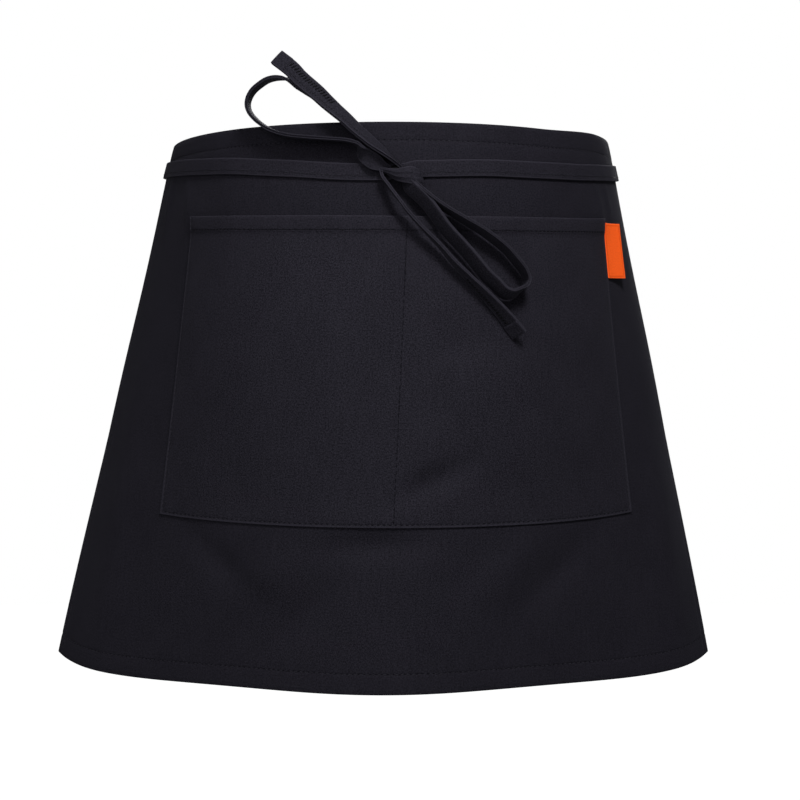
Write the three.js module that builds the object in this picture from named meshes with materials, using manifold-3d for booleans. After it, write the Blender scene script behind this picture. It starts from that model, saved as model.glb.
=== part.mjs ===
// A waist apron in its worn form: a flared cloth skirt with folded edges, one wide patch pocket that is
// stitched down its middle, a woven label in the pocket's side seam, and two flat ties that cross behind
// the waist and meet in a bow at the front.
// Lengths are in millimetres and turns in degrees. +X is the viewer's right, -Y the front and +Z up.
// The origin is the middle of the waist opening, level with the wearer's waist.
import * as THREE from 'three';
import Module from 'manifold-3d';

const wasm = await Module();
wasm.setup();

// Clearance between neighbouring pieces
const GAP = 0.3;

// Skirt
const CLOTH_WIDTH = 600;
const CLOTH_LENGTH = 400;
const CLOTH_THICKNESS = 1.2;
const HEM_EXTRA = 0.8;
const HEM_STEP = 1.5;
const TOP_HEM = 14.5;
const BOTTOM_HEM = 16;
const SIDE_HEM = 9;
const WAIST_FRONT = 136;
const WAIST_DOWN = 30;
const FRONT_LEAN = 15;
const SIDE_DROP = 4;
const HEM_SWAY = -6;
const FLARE_POWER = 0.85;
const FOLD_HEIGHT = 3;
const HEM_RISE = 2.4;

// Pocket
const POCKET_MOUTH_WIDTH = 356;
const POCKET_BOTTOM_WIDTH = 396;
const POCKET_HEIGHT = 218;
const POCKET_DOWN = 60;
const POCKET_SAG = 6.5;
const POCKET_CENTRE = 12;
const POCKET_THICKNESS = 1.2;
const POCKET_MOUTH_HEM = 10.5;
const POCKET_TURN_UNDER = 7;
const POCKET_BULGE = 12;

// Label in the pocket's side seam
const LABEL_WIDTH = 20;
const LABEL_HEIGHT = 41;
const LABEL_DOWN = 3;
const LABEL_THICKNESS = 1;
const LABEL_LIFT = 2.5;

// Ties and bow
const TIE_WIDTH = 12;
const TIE_THICKNESS = 1.5;
const TIE_LAP = 16;
const KNOT_ALONG = 8;
const KNOT_DOWN = 36;
const KNOT_WIDTH = 20;
const KNOT_HEIGHT = 11;
const KNOT_DEPTH = 9;
const KNOT_TILT = -17;
const UPPER_END_REACH = 121;
const LOWER_END_REACH = 139;
const UPPER_LOOP_REACH = 121;
const LOWER_LOOP_REACH = 118;

// Turn of the cloth away from the front, in plan, at shares of its half width
const DRAPE = [
  { along: 0, waistTurn: 0, hemTurn: 0 },
  { along: 0.2, waistTurn: 19, hemTurn: 22 },
  { along: 0.4, waistTurn: 41, hemTurn: 30 },
  { along: 0.6, waistTurn: 62, hemTurn: 34 },
  { along: 0.8, waistTurn: 85, hemTurn: 41 },
  { along: 1, waistTurn: 127, hemTurn: 65 },
];

// Soft folds: the middle as shares of the half width and the length, the half run and the half spread as
// shares of the length, the lean from upright, and the height as a share of FOLD_HEIGHT
const FOLDS = [
  { along: -0.2, down: 0.84, run: 0.14, spread: 0.04, lean: 28, height: 0.7 },
  { along: -0.32, down: 0.88, run: 0.13, spread: 0.045, lean: 24, height: -0.6 },
  { along: 0.41, down: 0.81, run: 0.1, spread: 0.035, lean: 34, height: 0.6 },
  { along: 0.5, down: 0.86, run: 0.12, spread: 0.04, lean: 20, height: -0.5 },
  { along: -0.55, down: 0.14, run: 0.03, spread: 0.03, lean: 14, height: 0.3 },
  { along: 0.61, down: 0.14, run: 0.03, spread: 0.03, lean: -20, height: 0.3 },
  { along: 0.1, down: 0.6, run: 0.07, spread: 0.035, lean: -42, height: -0.4 },
  { along: -0.01, down: 0.75, run: 0.1, spread: 0.035, lean: 86, height: -0.4 },
  { along: -0.78, down: 0.72, run: 0.3, spread: 0.05, lean: 5, height: 0.8 },
  { along: 0.83, down: 0.76, run: 0.28, spread: 0.05, lean: -5, height: 0.8 },
  { along: 0, down: 1.02, run: 0.2, spread: 0.12, lean: 4, height: 0.9 },
];

// Height of the ties where they pass the sides of the front, from the corner's height (0) to the knot's (1)
const FRONT_ROUTE = [
  { along: 0, leftSide: 1, rightSide: 0.92 },
  { along: 0.1, leftSide: 0.95, rightSide: 0.83 },
  { along: 0.25, leftSide: 0.75, rightSide: 0.75 },
  { along: 0.4, leftSide: 0.54, rightSide: 0.69 },
  { along: 0.6, leftSide: 0.3, rightSide: 0.5 },
  { along: 0.85, leftSide: 0.06, rightSide: 0.16 },
  { along: 1, leftSide: 0, rightSide: 0 },
];

// Crossing behind the waist, from the left corner (0) to the right (1): heights below the top edge in tie
// widths. The tie that is sewn on the left goes from the inner of two layers to the outer between two places
// where the ties are clear of each other in height, and the other tie goes the opposite way.
const BACK_ROUTE = [
  { around: 0, fromLeft: 0.65, fromRight: 1.4 },
  { around: 0.12, fromLeft: 0.56, fromRight: 1.72 },
  { around: 0.3, fromLeft: 0.6, fromRight: 1.8 },
  { around: 0.6, fromLeft: 0.95, fromRight: 1.3 },
  { around: 1, fromLeft: 1.4, fromRight: 0.65 },
];
const SWAP_FROM = 0.12;
const SWAP_TO = 0.3;

// Routes of the bow's straps from the knot's middle: across, up and the knot's end of each as shares of the
// strap's reach, how far the middle of the strap stands out in tie widths, and the turn of its face from
// facing the front (0) to edge on (90)
const UPPER_END = [
  { across: 0, up: 0.02, out: 0.6, face: 70 },
  { across: -0.06, up: 0.09, out: 0.7, face: 66 },
  { across: -0.152, up: 0.172, out: 0.72, face: 62 },
  { across: -0.284, up: 0.269, out: 0.7, face: 52 },
  { across: -0.477, up: 0.442, out: 0.6, face: 28 },
  { across: -0.585, up: 0.546, out: 0.5, face: 14 },
  { across: -0.668, up: 0.632, out: 0.45, face: 8 },
  { across: -0.734, up: 0.68, out: 0.42, face: 6 },
];
const UPPER_LOOP = [
  { across: -0.05, up: -0.005, out: 0.62, face: 86 },
  { across: -0.19, up: 0.11, out: 0.62, face: 86 },
  { across: -0.337, up: 0.184, out: 0.62, face: 86 },
  { across: -0.568, up: 0.213, out: 0.62, face: 88 },
  { across: -0.763, up: 0.257, out: 0.62, face: 90 },
  { across: -0.875, up: 0.343, out: 0.62, face: 90 },
  { across: -0.917, up: 0.437, out: 0.62, face: 90 },
  { across: -0.87, up: 0.53, out: 0.62, face: 90 },
  { across: -0.765, up: 0.571, out: 0.62, face: 88 },
  { across: -0.668, up: 0.532, out: 0.62, face: 86 },
  { across: -0.595, up: 0.46, out: 0.62, face: 84 },
  { across: -0.49, up: 0.353, out: 0.62, face: 84 },
  { across: -0.34, up: 0.222, out: 0.6, face: 84 },
  { across: -0.19, up: 0.155, out: 0.62, face: 84 },
  { across: -0.035, up: 0.06, out: 0.62, face: 84 },
];
const LOWER_LOOP = [
  { across: 0.005, up: -0.05, out: 0.72, face: 62 },
  { across: 0.148, up: -0.207, out: 0.66, face: 48 },
  { across: 0.248, up: -0.325, out: 0.62, face: 46 },
  { across: 0.361, up: -0.444, out: 0.6, face: 46 },
  { across: 0.479, up: -0.568, out: 0.6, face: 50 },
  { across: 0.568, up: -0.66, out: 0.62, face: 60 },
  { across: 0.65, up: -0.716, out: 0.64, face: 76 },
  { across: 0.722, up: -0.7, out: 0.66, face: 86 },
  { across: 0.763, up: -0.639, out: 0.66, face: 88 },
  { across: 0.74, up: -0.565, out: 0.66, face: 88 },
  { across: 0.686, up: -0.5, out: 0.66, face: 88 },
  { across: 0.609, up: -0.42, out: 0.66, face: 86 },
  { across: 0.532, up: -0.35, out: 0.66, face: 86 },
  { across: 0.444, up: -0.296, out: 0.66, face: 84 },
  { across: 0.343, up: -0.242, out: 0.66, face: 82 },
  { across: 0.248, up: -0.177, out: 0.68, face: 80 },
  { across: 0.07, up: -0.03, out: 0.7, face: 82 },
];
const LOWER_END = [
  { across: -0.03, up: -0.01, out: 0.55, face: 72 },
  { across: -0.07, up: -0.07, out: 0.55, face: 72 },
  { across: -0.035, up: -0.165, out: 0.56, face: 70 },
  { across: 0.062, up: -0.257, out: 0.56, face: 64 },
  { across: 0.166, up: -0.361, out: 0.54, face: 58 },
  { across: 0.273, up: -0.463, out: 0.5, face: 52 },
  { across: 0.38, up: -0.566, out: 0.5, face: 46 },
  { across: 0.491, up: -0.675, out: 0.48, face: 38 },
  { across: 0.59, up: -0.805, out: 0.44, face: 28 },
];

// Resolution
const SKIRT_COLUMNS = 44;
const SKIRT_ROWS = 24;
const POCKET_COLUMNS = 30;
const POCKET_ROWS = 12;
const LATTICE_COLUMNS = 120;
const LATTICE_ROWS = 100;
const TIE_STEP = 11;
const STRAP_STEPS = 34;
const CUT_TOLERANCE = 0.03;

const half = CLOTH_WIDTH / 2;
const radians = (degrees) => (degrees * Math.PI) / 180;
const mix = (from, to, share) => from + (to - from) * share;
const clamp = (value, low, high) => Math.min(Math.max(value, low), high);

function smoothStep(value, from, to) {
  const share = clamp((value - from) / (to - from), 0, 1);
  return share * share * (3 - 2 * share);
}

// A smooth value at a place in a table, from the rows on either side
function read(rows, placeName, valueName, place) {
  const last = rows.length - 1;
  const slope = (row) => {
    const low = rows[Math.max(row - 1, 0)];
    const high = rows[Math.min(row + 1, last)];
    return (high[valueName] - low[valueName]) / (high[placeName] - low[placeName]);
  };
  let row = 0;
  while (row < last - 1 && place > rows[row + 1][placeName]) {
    row += 1;
  }
  const span = rows[row + 1][placeName] - rows[row][placeName];
  const t = (place - rows[row][placeName]) / span;
  const startShape = (2 * t - 3) * t * t + 1;
  const startSlope = ((t - 2) * t + 1) * t * span;
  const endSlope = (t - 1) * t * t * span;
  return startShape * rows[row][valueName] + startSlope * slope(row)
    + (1 - startShape) * rows[row + 1][valueName] + endSlope * slope(row + 1);
}

function turnAt(alongShare, downShare) {
  const flare = downShare ** FLARE_POWER;
  const waistTurn = read(DRAPE, 'along', 'waistTurn', alongShare);
  return radians(mix(waistTurn, read(DRAPE, 'along', 'hemTurn', alongShare), flare));
}

// The right half of the cloth's face on a lattice: it keeps its width along every row, and its length
// down every column
function drapeLattice() {
  const lattice = [];
  const step = half / LATTICE_COLUMNS;
  const fall = CLOTH_LENGTH / LATTICE_ROWS;
  for (let row = 0; row <= LATTICE_ROWS; row += 1) {
    const downShare = row / LATTICE_ROWS;
    const place = new THREE.Vector3(0, -WAIST_FRONT - FRONT_LEAN * downShare, WAIST_DOWN);
    const points = [place.clone()];
    for (let column = 1; column <= LATTICE_COLUMNS; column += 1) {
      const turn = turnAt((column - 0.5) / LATTICE_COLUMNS, downShare);
      place.x += step * Math.cos(turn);
      place.y += step * Math.sin(turn);
      points.push(place.clone());
    }
    lattice.push(points);
  }
  for (let column = 0; column <= LATTICE_COLUMNS; column += 1) {
    lattice[0][column].z -= SIDE_DROP * (column / LATTICE_COLUMNS) ** 2;
    for (let row = 1; row <= LATTICE_ROWS; row += 1) {
      const above = lattice[row - 1][column];
      const here = lattice[row][column];
      const shift = Math.hypot(here.x - above.x, here.y - above.y);
      here.z = above.z - Math.sqrt(Math.max(fall * fall - shift * shift, 0));
    }
  }
  return lattice;
}

const lattice = drapeLattice();

// The smooth drape, without folds, at a distance along from the middle and down from the top edge
function drapePoint(along, down) {
  const column = clamp(Math.abs(along) / half, 0, 1) * LATTICE_COLUMNS;
  const row = clamp(down / CLOTH_LENGTH, 0, 1) * LATTICE_ROWS;
  const i = Math.min(Math.floor(column), LATTICE_COLUMNS - 1);
  const j = Math.min(Math.floor(row), LATTICE_ROWS - 1);
  const upper = lattice[j][i].clone().lerp(lattice[j][i + 1], column - i);
  const lower = lattice[j + 1][i].clone().lerp(lattice[j + 1][i + 1], column - i);
  const point = upper.lerp(lower, row - j);
  point.x = point.x * (along < 0 ? -1 : 1) + (HEM_SWAY * row) / LATTICE_ROWS;
  return point;
}

function drapeNormal(along, down) {
  const reach = 5;
  const a = clamp(along, reach - half, half - reach);
  const d = clamp(down, reach, CLOTH_LENGTH - reach);
  const across = drapePoint(a + reach, d).sub(drapePoint(a - reach, d));
  const downward = drapePoint(a, d + reach).sub(drapePoint(a, d - reach));
  return downward.cross(across).normalize();
}

function foldHeight(along, down) {
  return FOLDS.reduce((total, fold) => {
    const x = along - fold.along * half;
    const y = down - fold.down * CLOTH_LENGTH;
    const lean = radians(fold.lean);
    const run = (y * Math.cos(lean) - x * Math.sin(lean)) / (fold.run * CLOTH_LENGTH);
    const spread = (x * Math.cos(lean) + y * Math.sin(lean)) / (fold.spread * CLOTH_LENGTH);
    return total + fold.height * FOLD_HEIGHT * Math.exp(-run * run - spread * spread);
  }, 0);
}

// A point in front of the cloth's face by the distance out
function clothPoint(along, down, out) {
  return drapePoint(along, down).addScaledVector(drapeNormal(along, down), out + foldHeight(along, down));
}

// Even places from one end to the other, with the marks among them
function stations(from, to, count, marks) {
  const clear = (to - from) / count / 2.5;
  const even = Array.from({ length: count + 1 }, (_, n) => mix(from, to, n / count));
  const kept = even.filter((place, n) => n === 0 || n === count
    || marks.every((mark) => Math.abs(mark - place) > clear));
  return [...kept, ...marks].sort((a, b) => a - b);
}

function meshFrom(name, geometry, look) {
  geometry.computeVertexNormals();
  const mesh = new THREE.Mesh(geometry, new THREE.MeshStandardMaterial({ ...look, metalness: 0 }));
  mesh.name = name;
  return mesh;
}

function closedGeometry(points, index) {
  const geometry = new THREE.BufferGeometry().setFromPoints(points);
  geometry.setIndex(index);
  return geometry;
}

// A wall between two faces that are given on the same columns and rows
function wall(columns, rows, front, back) {
  const grid = (face) => rows.flatMap((row) => columns.map((column) => face(column, row)));
  const points = [...grid(front), ...grid(back)];
  const at = (i, j, layer) => (layer * rows.length + j) * columns.length + i;
  const index = [];
  const quad = (a, b, c, d) => index.push(a, b, c, a, c, d);
  const right = columns.length - 1;
  const bottom = rows.length - 1;
  for (let j = 0; j < bottom; j += 1) {
    for (let i = 0; i < right; i += 1) {
      quad(at(i, j, 0), at(i, j + 1, 0), at(i + 1, j + 1, 0), at(i + 1, j, 0));
      quad(at(i, j, 1), at(i + 1, j, 1), at(i + 1, j + 1, 1), at(i, j + 1, 1));
    }
    quad(at(0, j + 1, 0), at(0, j, 0), at(0, j, 1), at(0, j + 1, 1));
    quad(at(right, j, 0), at(right, j + 1, 0), at(right, j + 1, 1), at(right, j, 1));
  }
  for (let i = 0; i < right; i += 1) {
    quad(at(i, 0, 0), at(i + 1, 0, 0), at(i + 1, 0, 1), at(i, 0, 1));
    quad(at(i + 1, bottom, 0), at(i, bottom, 0), at(i, bottom, 1), at(i + 1, bottom, 1));
  }
  return closedGeometry(points, index);
}

// A strap through four-cornered sections, each listed in the same turning order
function strapGeometry(sections) {
  const corners = sections[0].length;
  const points = sections.flat();
  const index = [];
  for (let n = 0; n + 1 < sections.length; n += 1) {
    for (let corner = 0; corner < corners; corner += 1) {
      const a = n * corners + corner;
      const b = n * corners + ((corner + 1) % corners);
      index.push(a, b, b + corners, a, b + corners, a + corners);
    }
  }
  const end = points.length - corners;
  index.push(0, 3, 2, 0, 2, 1);
  index.push(end, end + 1, end + 2, end, end + 2, end + 3);
  return closedGeometry(points, index);
}

function solidFrom(geometry) {
  const vertProperties = new Float32Array(geometry.getAttribute('position').array);
  const triVerts = new Uint32Array(geometry.getIndex().array);
  return new wasm.Manifold(new wasm.Mesh({ numProp: 3, vertProperties, triVerts }));
}

// What is left of a solid, its largest piece, once the cutters are taken off
function carved(geometry, cutters) {
  let solid = solidFrom(geometry);
  for (const cutter of cutters) {
    solid = solid.subtract(solidFrom(cutter));
  }
  const pieces = solid.decompose().sort((a, b) => b.volume() - a.volume());
  const mesh = pieces[0].simplify(CUT_TOLERANCE).getMesh();
  const result = new THREE.BufferGeometry();
  result.setAttribute('position', new THREE.BufferAttribute(new Float32Array(mesh.vertProperties), 3));
  result.setIndex(Array.from(mesh.triVerts));
  return result;
}

// Skirt: one cloth with its edges folded to the inside
function foldedShare(along, down) {
  const inner = [TOP_HEM - down, down - CLOTH_LENGTH + BOTTOM_HEM, Math.abs(along) - half + SIDE_HEM];
  return smoothStep(Math.max(...inner), -HEM_STEP, 0);
}

const sideMarks = [half - TIE_LAP, half - SIDE_HEM - HEM_STEP, half - SIDE_HEM];
const skirtMarks = [...sideMarks, ...sideMarks.map((mark) => -mark)];
const skirtColumns = stations(-half, half, SKIRT_COLUMNS, skirtMarks);

// The bottom edge is cut a little higher between the middle and the corners
function hemRisen(along, down) {
  const rise = HEM_RISE * Math.sin((Math.PI * Math.abs(along)) / half) ** 2;
  return down - rise * smoothStep(down, CLOTH_LENGTH / 2, CLOTH_LENGTH - BOTTOM_HEM);
}

function skirtGeometry() {
  const rows = stations(0, CLOTH_LENGTH, SKIRT_ROWS, [
    TOP_HEM,
    TOP_HEM + HEM_STEP,
    CLOTH_LENGTH - BOTTOM_HEM - HEM_STEP,
    CLOTH_LENGTH - BOTTOM_HEM,
  ]);
  const front = (along, down) => clothPoint(along, hemRisen(along, down), 0);
  const back = (along, down) => {
    return clothPoint(along, hemRisen(along, down), -CLOTH_THICKNESS - HEM_EXTRA * foldedShare(along, down));
  };
  return wall(skirtColumns, rows, front, back);
}

// Pocket: side is -1 at its left edge and 1 at its right, drop is 0 at its mouth and 1 at its bottom
function pocketAlong(side, drop) {
  return POCKET_CENTRE + (side * mix(POCKET_MOUTH_WIDTH, POCKET_BOTTOM_WIDTH, drop)) / 2;
}

function pocketDown(side, drop) {
  return POCKET_DOWN + POCKET_SAG * (1 - side * side) + POCKET_HEIGHT * drop;
}

// Room inside each half, shut at the side, the middle seam and the bottom
function pocketRoom(side, drop) {
  const across = Math.sin(Math.PI * Math.abs(side)) ** 0.8;
  return POCKET_BULGE * across * (1 - drop ** 3);
}

const mouthFold = {
  edge: POCKET_MOUTH_HEM / POCKET_HEIGHT,
  end: (POCKET_MOUTH_HEM + HEM_STEP) / POCKET_HEIGHT,
};
const bottomFold = {
  edge: 1 - POCKET_TURN_UNDER / POCKET_HEIGHT,
  end: 1 - (POCKET_TURN_UNDER + HEM_STEP) / POCKET_HEIGHT,
};
const sideFold = {
  edge: 1 - (2 * POCKET_TURN_UNDER) / POCKET_BOTTOM_WIDTH,
  end: 1 - (2 * (POCKET_TURN_UNDER + HEM_STEP)) / POCKET_BOTTOM_WIDTH,
};

function pocketFolded(side, drop) {
  const mouth = smoothStep(-drop, -mouthFold.end, -mouthFold.edge);
  const bottom = smoothStep(drop, bottomFold.end, bottomFold.edge);
  const edge = smoothStep(Math.abs(side), sideFold.end, sideFold.edge);
  return Math.max(mouth, bottom, edge);
}

function pocketGeometry() {
  const foldMarks = [sideFold.end, sideFold.edge, -sideFold.end, -sideFold.edge];
  const sides = stations(-1, 1, POCKET_COLUMNS, foldMarks);
  const dropMarks = [mouthFold.edge, mouthFold.end, bottomFold.end, bottomFold.edge];
  const drops = stations(0, 1, POCKET_ROWS, dropMarks);
  const place = (side, drop, out) => {
    return clothPoint(pocketAlong(side, drop), pocketDown(side, drop), GAP + pocketRoom(side, drop) + out);
  };
  const front = (side, drop) => place(side, drop, POCKET_THICKNESS + HEM_EXTRA * pocketFolded(side, drop));
  const back = (side, drop) => place(side, drop, 0);
  return wall(sides, drops, front, back);
}

// Label: it comes out of the pocket's right edge and its free edge lifts a little
function labelGeometry() {
  const columns = stations(0, LABEL_WIDTH, 6, []);
  const rows = stations(LABEL_DOWN, LABEL_DOWN + LABEL_HEIGHT, 6, []);
  const place = (across, drop, out) => {
    const along = pocketAlong(1, drop / POCKET_HEIGHT) + GAP + across;
    const lift = LABEL_LIFT * (across / LABEL_WIDTH) ** 2;
    return clothPoint(along, pocketDown(1, drop / POCKET_HEIGHT), GAP + lift + out);
  };
  const front = (across, drop) => place(across, drop, LABEL_THICKNESS);
  const back = (across, drop) => place(across, drop, 0);
  return wall(columns, rows, front, back);
}

// The ring that the ties follow: the cloth, and behind it an arc from one side edge round to the other
function backArc(down) {
  const edge = drapePoint(half, down);
  const turn = turnAt(1, down / CLOTH_LENGTH);
  const radius = edge.x / Math.sin(turn);
  return { edge, turn, radius, length: radius * (Math.PI - turn) };
}

const backHalf = backArc(0).length;

function ringPoint(along, down, out) {
  if (Math.abs(along) <= half) {
    return clothPoint(along, down, out);
  }
  const { edge, turn, radius } = backArc(down);
  const here = mix(turn, Math.PI, (Math.abs(along) - half) / backHalf);
  const x = (radius + out) * Math.sin(here);
  const y = edge.y + radius * Math.cos(turn) - (radius + out) * Math.cos(here);
  return new THREE.Vector3(x * (along < 0 ? -1 : 1), y, edge.z);
}

const layerOut = (layer) => GAP + layer * (TIE_THICKNESS + 2 * GAP);

// Distances along a tie from its corner's edge: on the cloth they follow the skirt's columns
function tieRuns(knotAlong) {
  const lapped = skirtColumns.filter((along) => along > half - TIE_LAP && along < half);
  const lap = lapped.map((along) => along - half);
  const behind = stations(0, 2 * backHalf, Math.ceil((2 * backHalf) / TIE_STEP), []);
  const front = skirtColumns.filter((along) => along < half && along > knotAlong).reverse();
  const frontRuns = [...front, knotAlong].map((along) => 2 * backHalf + half - along);
  return [-TIE_LAP, ...lap, ...behind, ...frontRuns];
}

// One tie, from its sewn corner round the back and the far side to the knot; side is the corner's sign
function tieGeometry(side, grow) {
  const own = side < 0 ? 'fromLeft' : 'fromRight';
  const frontSide = side < 0 ? 'rightSide' : 'leftSide';
  const farCorner = side < 0 ? BACK_ROUTE[BACK_ROUTE.length - 1] : BACK_ROUTE[0];
  const passDown = TIE_WIDTH * farCorner[own];
  const sections = [];
  for (const run of tieRuns(-side * KNOT_ALONG)) {
    const share = clamp(run / (2 * backHalf), 0, 1);
    const around = side < 0 ? share : 1 - share;
    let along = side * (half + run);
    let down = TIE_WIDTH * read(BACK_ROUTE, 'around', own, around);
    const outer = smoothStep(around, SWAP_FROM, SWAP_TO);
    let out = layerOut(side < 0 ? outer : 1 - outer);
    let width = TIE_WIDTH;
    if (run > backHalf) {
      along = -side * (half + 2 * backHalf - run);
    }
    if (run > 2 * backHalf) {
      const rise = read(FRONT_ROUTE, 'along', frontSide, Math.abs(along) / half);
      const near = Math.abs(along - KNOT_ALONG);
      down = mix(passDown, KNOT_DOWN, rise);
      out = mix(layerOut(0), out, smoothStep(Math.abs(along), half - 4 * TIE_LAP, half - 2 * TIE_LAP));
      out += KNOT_DEPTH * 0.3 * (1 - smoothStep(near, 0, KNOT_WIDTH));
      width *= mix(0.62, 1, smoothStep(near, KNOT_WIDTH * 0.4, KNOT_WIDTH));
    }
    const reach = width / 2 + grow;
    const corners = [
      ringPoint(along, down - reach, out + TIE_THICKNESS + grow),
      ringPoint(along, down + reach, out + TIE_THICKNESS + grow),
      ringPoint(along, down + reach, out - grow),
      ringPoint(along, down - reach, out - grow),
    ];
    sections.push(side < 0 ? corners.reverse() : corners);
  }
  return strapGeometry(sections);
}

// Knot: a boxy lump, tilted, just in front of the cloth; grow is the clearance that straps keep from it
function knotMiddle() {
  return clothPoint(KNOT_ALONG, KNOT_DOWN, GAP + KNOT_DEPTH / 2);
}

function knotGeometry(grow) {
  const columns = 20;
  const rows = 12;
  const bulk = (value, power) => Math.sign(value) * Math.abs(value) ** power;
  const points = [];
  const index = [];
  const corner = (azimuth, polar) => {
    const ring = bulk(Math.sin(polar), 0.7);
    const point = new THREE.Vector3(
      bulk(Math.cos(polar), 0.8) * (KNOT_WIDTH / 2 + grow),
      ring * bulk(Math.cos(azimuth), 0.8) * (KNOT_DEPTH / 2 + grow),
      ring * bulk(Math.sin(azimuth), 0.8) * (KNOT_HEIGHT / 2 + grow),
    );
    return point.applyAxisAngle(new THREE.Vector3(0, 1, 0), radians(-KNOT_TILT)).add(knotMiddle());
  };
  points.push(corner(0, 0));
  for (let row = 1; row < rows; row += 1) {
    for (let column = 0; column < columns; column += 1) {
      points.push(corner((column / columns) * 2 * Math.PI, (row / rows) * Math.PI));
    }
  }
  points.push(corner(0, Math.PI));
  const at = (row, column) => 1 + (row - 1) * columns + (column % columns);
  for (let column = 0; column < columns; column += 1) {
    index.push(0, at(1, column), at(1, column + 1));
    index.push(points.length - 1, at(rows - 1, column + 1), at(rows - 1, column));
    for (let row = 1; row < rows - 1; row += 1) {
      index.push(at(row, column), at(row + 1, column), at(row + 1, column + 1));
      index.push(at(row, column), at(row + 1, column + 1), at(row, column + 1));
    }
  }
  return closedGeometry(points, index);
}

// How far the pocket's face stands out from the cloth, rising to it from a little above the mouth
function pocketFace(along, down) {
  const side = clamp((along - POCKET_CENTRE) / (POCKET_MOUTH_WIDTH / 2), -1, 1);
  const drop = clamp((down - POCKET_DOWN) / POCKET_HEIGHT, 0, 1);
  const face = GAP + pocketRoom(side, drop) + POCKET_THICKNESS + HEM_EXTRA;
  return face * smoothStep(down, KNOT_DOWN + KNOT_HEIGHT / 2, POCKET_DOWN);
}

// The depth of the frontmost cloth at a place seen from the front; above the top edge it is the edge's own
function frontDepth(x, z) {
  let along = x;
  let down = drapePoint(0, 0).z - z;
  let depth = 0;
  for (let pass = 0; pass < 5; pass += 1) {
    const here = clothPoint(along, Math.max(down, 0), pocketFace(along, down));
    along += x - here.x;
    down += down > 0 ? here.z - z : 0;
    depth = here.y;
  }
  return depth;
}

// A strap of the bow along a route; grow widens and thickens it for a cutter
function bowStrapGeometry(route, reach, grow) {
  const middle = knotMiddle();
  const places = route.map((row) => {
    const x = middle.x + row.across * reach;
    const z = middle.z + row.up * reach;
    return new THREE.Vector3(x, frontDepth(x, z) - row.out * TIE_WIDTH, z);
  });
  const curve = new THREE.CatmullRomCurve3(places, false, 'centripetal');
  const sections = [];
  for (let n = 0; n <= STRAP_STEPS; n += 1) {
    const t = n / STRAP_STEPS;
    const row = Math.min(Math.floor(t * (route.length - 1)), route.length - 2);
    const face = radians(mix(route[row].face, route[row + 1].face, t * (route.length - 1) - row));
    const centre = curve.getPoint(t);
    const tangent = curve.getTangent(t);
    const side = new THREE.Vector3(-tangent.z, 0, tangent.x).normalize();
    const broad = side.multiplyScalar(Math.cos(face)).add(new THREE.Vector3(0, -Math.sin(face), 0));
    broad.addScaledVector(tangent, -broad.dot(tangent)).normalize();
    const thick = tangent.clone().cross(broad).multiplyScalar(TIE_THICKNESS / 2 + grow);
    broad.multiplyScalar(TIE_WIDTH / 2 + grow);
    sections.push([
      centre.clone().add(broad).add(thick),
      centre.clone().sub(broad).add(thick),
      centre.clone().sub(broad).sub(thick),
      centre.clone().add(broad).sub(thick),
    ]);
  }
  return strapGeometry(sections);
}

// Colours and surfaces
const TWILL = { color: 0x1e1d23, roughness: 0.9 };
const LABEL_WEAVE = { color: 0xff6224, roughness: 0.75 };

function apron() {
  const group = new THREE.Group();
  const knotCutter = knotGeometry(GAP);
  group.add(meshFrom('skirt', skirtGeometry(), TWILL));
  group.add(meshFrom('patch_pocket', pocketGeometry(), TWILL));
  group.add(meshFrom('side_label', labelGeometry(), LABEL_WEAVE));
  group.add(meshFrom('tie_from_left', carved(tieGeometry(-1, 0), [knotCutter]), TWILL));
  group.add(meshFrom('tie_from_right', carved(tieGeometry(1, 0), [knotCutter]), TWILL));
  group.add(meshFrom('bow_knot', knotGeometry(0), TWILL));
  const straps = [
    { name: 'bow_loop_upper', route: UPPER_LOOP, reach: UPPER_LOOP_REACH },
    { name: 'bow_loop_lower', route: LOWER_LOOP, reach: LOWER_LOOP_REACH },
    { name: 'tie_end_upper', route: UPPER_END, reach: UPPER_END_REACH },
    { name: 'tie_end_lower', route: LOWER_END, reach: LOWER_END_REACH },
  ];
  const cutters = [knotCutter, tieGeometry(-1, GAP), tieGeometry(1, GAP)];
  for (const { name, route, reach } of straps) {
    group.add(meshFrom(name, carved(bowStrapGeometry(route, reach, 0), cutters), TWILL));
    cutters.push(bowStrapGeometry(route, reach, GAP));
  }
  return group;
}

export default apron();
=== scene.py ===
import math

import bmesh
import bpy
import numpy as np
from mathutils import Matrix, Vector


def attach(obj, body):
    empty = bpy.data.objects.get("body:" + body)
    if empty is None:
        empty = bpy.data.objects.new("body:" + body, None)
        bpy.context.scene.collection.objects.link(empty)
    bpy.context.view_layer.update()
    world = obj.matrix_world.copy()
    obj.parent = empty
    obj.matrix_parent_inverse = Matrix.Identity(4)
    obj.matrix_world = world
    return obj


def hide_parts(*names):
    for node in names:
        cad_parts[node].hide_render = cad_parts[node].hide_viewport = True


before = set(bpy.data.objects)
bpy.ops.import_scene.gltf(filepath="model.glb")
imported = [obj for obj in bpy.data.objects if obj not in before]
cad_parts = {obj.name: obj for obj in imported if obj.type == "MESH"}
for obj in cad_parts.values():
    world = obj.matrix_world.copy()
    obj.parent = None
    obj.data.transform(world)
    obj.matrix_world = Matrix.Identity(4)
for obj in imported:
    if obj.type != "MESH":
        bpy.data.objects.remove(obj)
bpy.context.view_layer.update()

MM = 0.001
GAP = 0.3

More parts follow.
